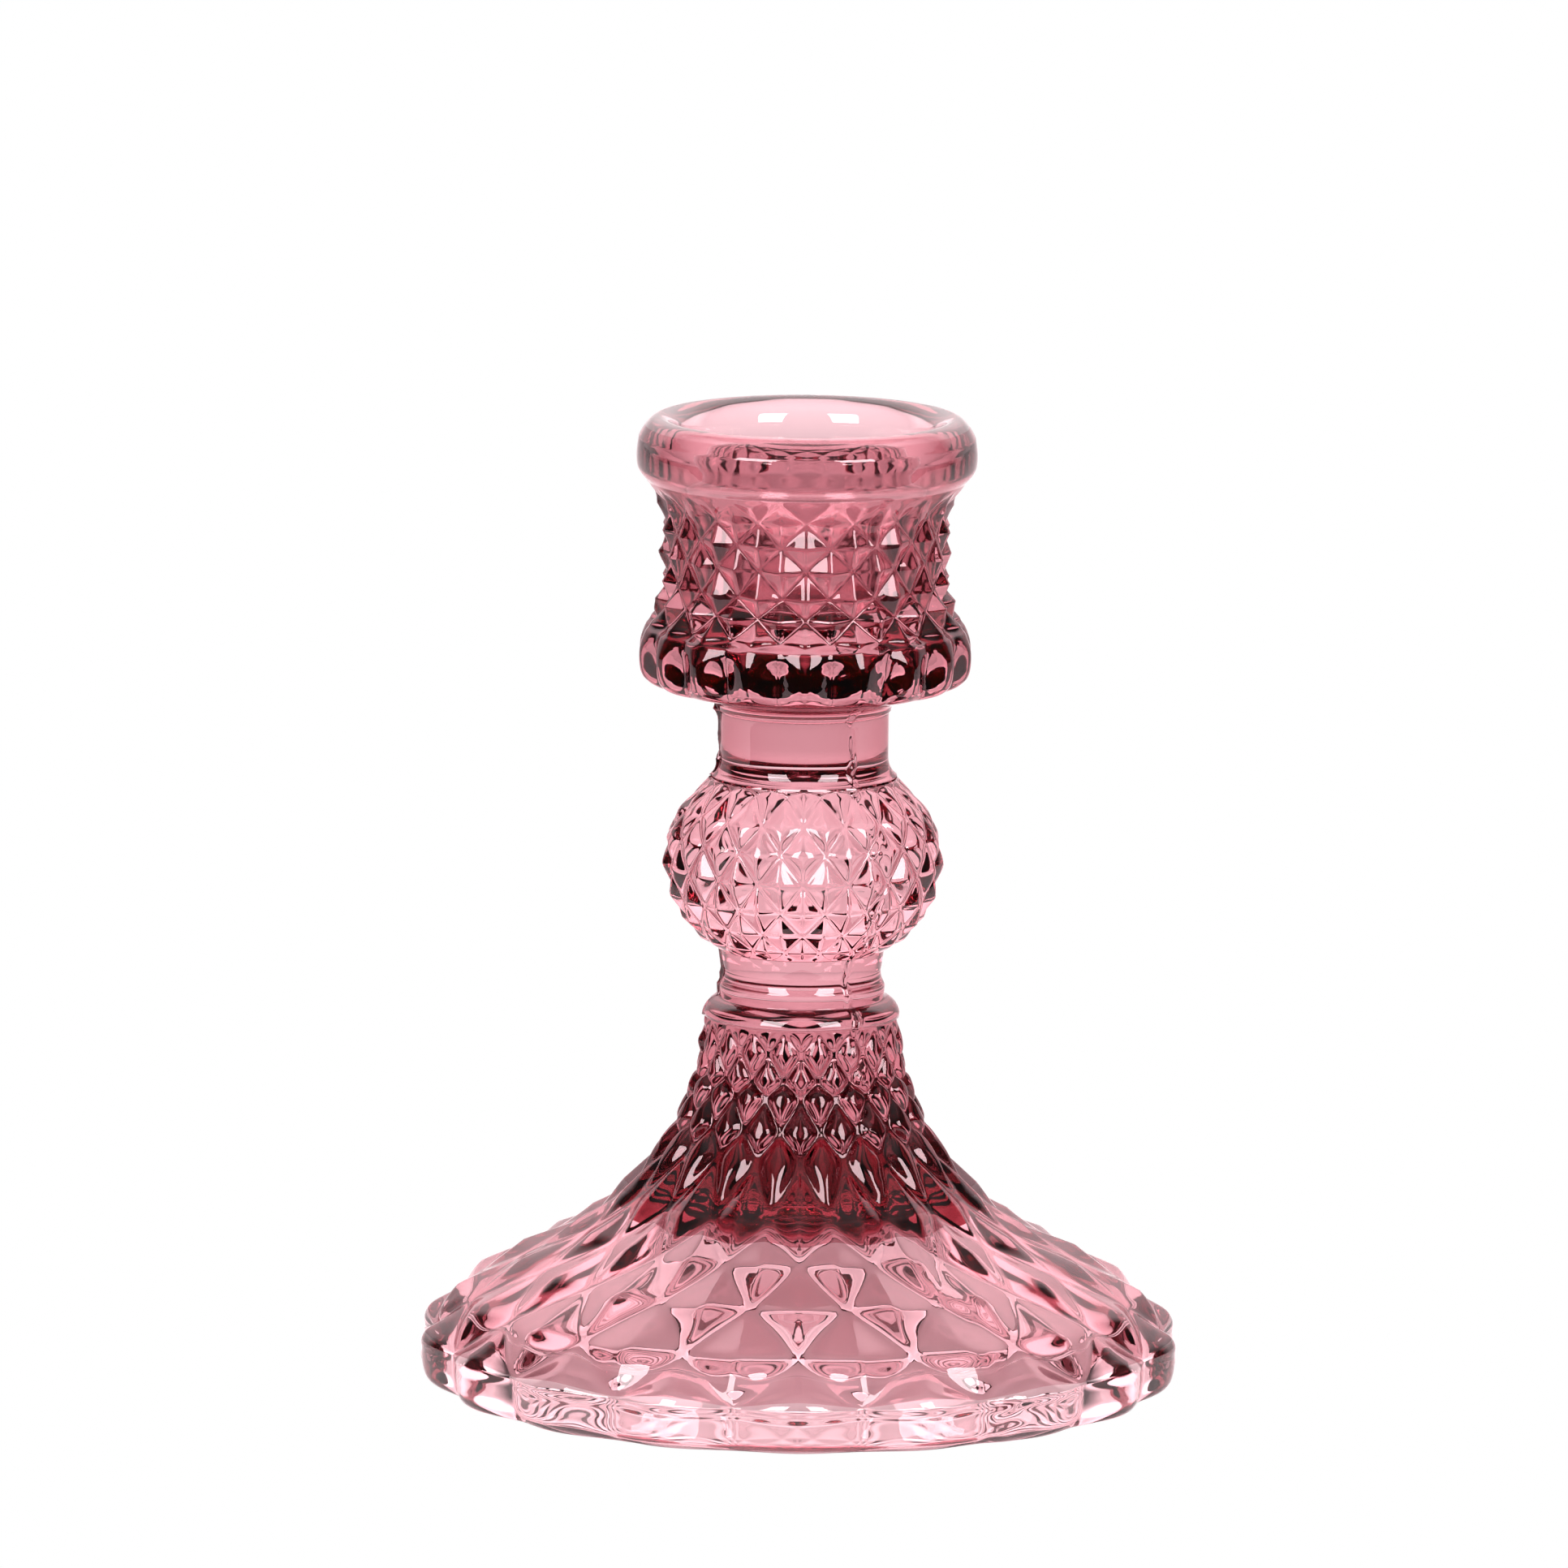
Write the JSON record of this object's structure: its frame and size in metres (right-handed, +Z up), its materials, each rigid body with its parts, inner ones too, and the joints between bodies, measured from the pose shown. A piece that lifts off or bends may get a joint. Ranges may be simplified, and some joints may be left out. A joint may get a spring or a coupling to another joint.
{
  "type": "glass candlestick",
  "caption": "Low pressed glass candlestick with a socket for a taper candle, a beaded cup skirt, a round knop and a spreading hollow foot, all in half-drop diamonds.",
  "frame": {"origin": "centre of the standing ring under the foot, on the table plane", "axes": "+Z up along the axis of the glass, -Y towards the viewer, +X to the viewer's right"},
  "size_m": [0.0796, 0.0808, 0.103],
  "materials": {
    "rose_glass": "gloss"
  },
  "bodies": {
    "root": {"rim_ring": "rose_glass", "candle_cup": "rose_glass", "bead_skirt": "rose_glass", "upper_neck": "rose_glass", "knop": "rose_glass", "lower_neck": "rose_glass", "foot_cone": "rose_glass", "foot_skirt": "rose_glass", "foot_rim": "rose_glass"}
  },
  "joints": []
}
